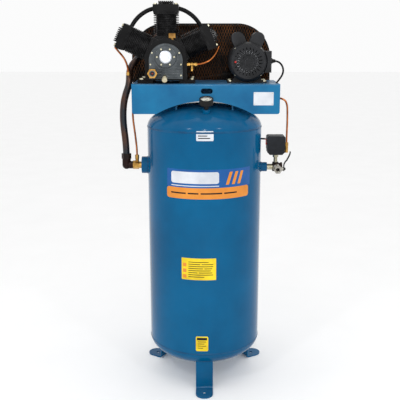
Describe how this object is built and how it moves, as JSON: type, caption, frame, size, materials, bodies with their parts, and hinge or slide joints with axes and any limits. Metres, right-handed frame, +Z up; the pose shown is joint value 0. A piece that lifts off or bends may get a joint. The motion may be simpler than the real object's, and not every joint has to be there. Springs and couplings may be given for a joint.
{
  "type": "vertical tank compressor",
  "caption": "Upright air receiver on strap legs with a belt-driven W-pattern piston pump and electric motor on a top plate behind an open mesh belt guard.",
  "frame": {"origin": "on the floor under the receiver's vertical axis, at the centre of the floor bolt circle", "axes": "+Z up along the receiver, +X to the right of an operator facing the gauge, +Y towards the belt guard"},
  "size_m": [0.7673, 0.572, 1.7032],
  "materials": {
    "tank_paint": "gloss",
    "pump_iron": "satin black paint",
    "cover_grey": "satin grey paint",
    "inner_iron": "machined",
    "bright_steel": "machined",
    "zinc_steel": "zinc plated",
    "aluminium": "cast and machined",
    "brass": "satin",
    "copper": "drawn, slightly tarnished",
    "tube_metal": "heat stained",
    "black_iron": "malleable iron, oiled",
    "guard_paint": "satin black",
    "guard_mesh": "satin black",
    "filter_paint": "satin black",
    "belt_rubber": "matte",
    "motor_paint": "satin",
    "switch_plastic": "moulded",
    "black_plastic": "moulded",
    "lever_coating": "dipped vinyl over steel",
    "red_plastic": "moulded",
    "cord_rubber": "matte",
    "gauge_black": "gloss black",
    "gauge_white": "printed dial",
    "needle_paint": "matte",
    "clear_glass": "clear"
  },
  "bodies": {
    "frame": {"tank_shell": "tank_paint", "tank_heads": "tank_paint", "tank_bungs": "tank_paint", "strap_legs": "tank_paint", "top_plate": "tank_paint", "plate_saddles": "tank_paint", "guard_band": "guard_paint", "guard_mesh": "guard_mesh", "crankcase": "pump_iron", "front_cover": "cover_grey", "bearing_carriers": "cover_grey", "end_disc": "aluminium", "cylinders": "pump_iron", "cylinder_heads": "pump_iron", "valve_plates": "pump_iron", "ball_bearings": "bright_steel", "fasteners": "zinc_steel", "sight_glass": "brass", "oil_fittings": "zinc_steel", "intake_filters": "filter_paint", "crossover_pipes": "pump_iron", "drive_belts": "belt_rubber", "motor_shell": "motor_paint", "motor_end_bells": "motor_paint", "capacitor_covers": "motor_paint", "motor_base": "motor_paint", "terminal_box": "motor_paint", "motor_lead": "cord_rubber", "cord_grips": "black_plastic", "gauge_case": "gauge_black", "gauge_dial": "gauge_white", "gauge_lens": "clear_glass", "discharge_pipe": "tube_metal", "discharge_elbow": "black_iron", "check_valve": "brass", "copper_tubes": "copper", "brass_fittings": "brass", "pipe_nipples": "zinc_steel", "manifold_cross": "black_iron", "ball_valve_body": "brass", "safety_valve": "brass", "switch_base": "switch_plastic", "switch_cover": "switch_plastic", "drain_valve": "brass"},
    "crank": {"crankshaft": "bright_steel", "flywheel": "guard_paint", "flywheel_bolt": "zinc_steel"},
    "rods": {"connecting_rods": "aluminium"},
    "left_piston": {"left_piston": "aluminium"},
    "centre_piston": {"centre_piston": "aluminium"},
    "right_piston": {"right_piston": "aluminium"},
    "rotor": {"motor_rotor": "bright_steel", "motor_pulley": "inner_iron"},
    "outlet_handle": {"ball_valve_lever": "lever_coating"},
    "drain_wing": {"drain_valve_wing": "brass"},
    "relief_ring": {"safety_valve_ring": "bright_steel"},
    "switch_arm": {"switch_lever": "red_plastic"},
    "needle": {"gauge_needle": "needle_paint"},
    "reset": {"reset_button": "red_plastic"},
    "check_disc": {"check_valve_disc": "bright_steel"}
  },
  "joints": [
    {"name": "crank_spin", "type": "hinge", "parent": "frame", "child": "crank", "pos_m": [-0.162, 0.19, 1.473], "axis": [0, 1, 0], "continuous": true},
    {"name": "rods_on_crankpin", "type": "hinge", "parent": "crank", "child": "rods", "pos_m": [-0.162, -0.04, 1.493], "axis": [0, 1, 0], "continuous": true},
    {"name": "motor_spin", "type": "hinge", "parent": "frame", "child": "rotor", "pos_m": [0.1845, 0.19, 1.452], "axis": [0, 1, 0], "continuous": true},
    {"name": "left_piston_slide", "type": "slide", "parent": "frame", "child": "left_piston", "axis": [-0.91, 0, 0.4147], "range_m": [-0.02829, 0.01171]},
    {"name": "centre_piston_slide", "type": "slide", "parent": "frame", "child": "centre_piston", "axis": [0, 0, 1], "range_m": [-0.04, 0]},
    {"name": "right_piston_slide", "type": "slide", "parent": "frame", "child": "right_piston", "axis": [0.91, 0, 0.4147], "range_m": [-0.02829, 0.01171]},
    {"name": "outlet_lever_turn", "type": "hinge", "parent": "frame", "child": "outlet_handle", "pos_m": [0.325, -0.054, 0.983], "axis": [1, 0, 0], "range_deg": [0, 90]},
    {"name": "drain_wing_turn", "type": "hinge", "parent": "frame", "child": "drain_wing", "pos_m": [0, 0, 0.035], "axis": [0, 0, 1], "range_deg": [0, 180]},
    {"name": "relief_ring_pull", "type": "slide", "parent": "frame", "child": "relief_ring", "axis": [0, 1, 0], "range_m": [0, 0.004], "stiffness_N_per_m": 800},
    {"name": "switch_lever_turn", "type": "hinge", "parent": "frame", "child": "switch_arm", "pos_m": [0.276, -0.012, 1.09], "axis": [1, 0, 0], "range_deg": [0, 50]},
    {"name": "gauge_needle_turn", "type": "hinge", "parent": "frame", "child": "needle", "pos_m": [0.008, -0.19123, 1.29903], "axis": [0, 0.3256, -0.9455], "range_deg": [0, 270], "stiffness_Nm_per_rad": 0.001},
    {"name": "reset_button_press", "type": "slide", "parent": "frame", "child": "reset", "axis": [0, 1, 0], "range_m": [0, 0.003], "stiffness_N_per_m": 300},
    {"name": "check_valve_open", "type": "slide", "parent": "frame", "child": "check_disc", "axis": [1, 0, 0], "range_m": [0, 0.004], "stiffness_N_per_m": 200}
  ],
  "couplings": [
    {"joint": "rods_on_crankpin", "follows": "crank_spin", "ratio": -1},
    {"joint": "motor_spin", "follows": "crank_spin", "ratio": 2.3714}
  ]
}
